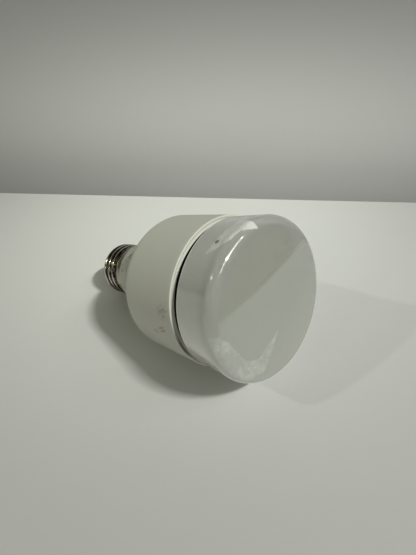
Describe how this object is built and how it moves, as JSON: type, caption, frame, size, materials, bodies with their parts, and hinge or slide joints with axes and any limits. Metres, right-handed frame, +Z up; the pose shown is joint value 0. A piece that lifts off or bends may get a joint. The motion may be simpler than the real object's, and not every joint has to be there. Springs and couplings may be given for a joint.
{
  "type": "smart light bulb",
  "caption": "Drum-shaped smart LED bulb with an E27 screw cap, a white housing and an opal diffuser, lying on its side.",
  "frame": {"origin": "centre of the bulb's bounding box in X and Y, at the table surface on which it lies", "axes": "+Z up from the table; the bulb's axis lies in the YZ plane, with its face towards -Y and raised and its screw cap towards +Y"},
  "size_m": [0.0612, 0.1118, 0.072],
  "materials": {
    "nickel": "bright nickel plate on rolled brass, lightly worn on the crests",
    "tin": "dull tinned metal",
    "black_glass": "smooth black cap glass",
    "red_wire": "red insulated lead",
    "black_wire": "black insulated lead",
    "collar_plastic": "grey-white plastic, mottled by rubbing",
    "white_plastic": "fine matte white moulded plastic with light scuffs",
    "gloss_white": "glossy white plastic",
    "black_rubber": "matte black rubber",
    "opal": "glossy opal polycarbonate with remains of a clear protective film",
    "aluminium": "plain pressed sheet",
    "grey_pad": "grey heat-conducting pad",
    "board_white": "aluminium board under white solder mask",
    "phosphor": "yellow phosphor in a white package",
    "led_white": "white moulded plastic",
    "steel": "zinc-plated screw",
    "board_green": "green circuit board",
    "board_blue": "blue circuit board",
    "black_plastic": "black moulded plastic",
    "gold": "gold-flashed pins",
    "capacitor_sleeve": "dark shrink sleeve",
    "ferrite": "dark grey ferrite",
    "copper": "enamelled copper wire",
    "copper_tape": "winding under yellow tape",
    "resistor_green": "green coated resistor"
  },
  "bodies": {
    "root": {"screw_cap": "nickel", "cap_insulator": "black_glass", "centre_contact": "tin", "live_wire": "red_wire", "neutral_wire": "black_wire", "neck_collar": "collar_plastic", "housing": "white_plastic", "trim_ring": "gloss_white", "seal_ring": "black_rubber", "diffuser": "opal", "heat_sink_cup": "aluminium", "thermal_pad": "grey_pad", "led_board": "board_white", "white_led_01": "phosphor", "white_led_02": "phosphor", "white_led_03": "phosphor", "white_led_04": "phosphor", "white_led_05": "phosphor", "white_led_06": "phosphor", "white_led_07": "phosphor", "white_led_08": "phosphor", "white_led_09": "phosphor", "white_led_10": "phosphor", "white_led_11": "phosphor", "white_led_12": "phosphor", "colour_led_1": "led_white", "colour_led_2": "led_white", "colour_led_3": "led_white", "colour_led_4": "led_white", "colour_led_5": "led_white", "colour_led_6": "led_white", "led_board_screw_1": "steel", "led_board_screw_2": "steel", "led_board_screw_3": "steel", "header_socket": "led_white", "pin_header": "black_plastic", "header_pin_1": "gold", "header_pin_2": "gold", "header_pin_3": "gold", "header_pin_4": "gold", "driver_board": "board_green", "fusible_resistor": "resistor_green", "bridge_rectifier": "black_plastic", "input_capacitor": "capacitor_sleeve", "output_capacitor": "capacitor_sleeve", "inductor_core": "ferrite", "inductor_winding": "copper", "transformer_core": "ferrite", "transformer_winding": "copper_tape", "driver_chip": "black_plastic", "wireless_board": "board_blue", "wireless_header": "black_plastic", "shield_can": "tin"}
  },
  "joints": []
}
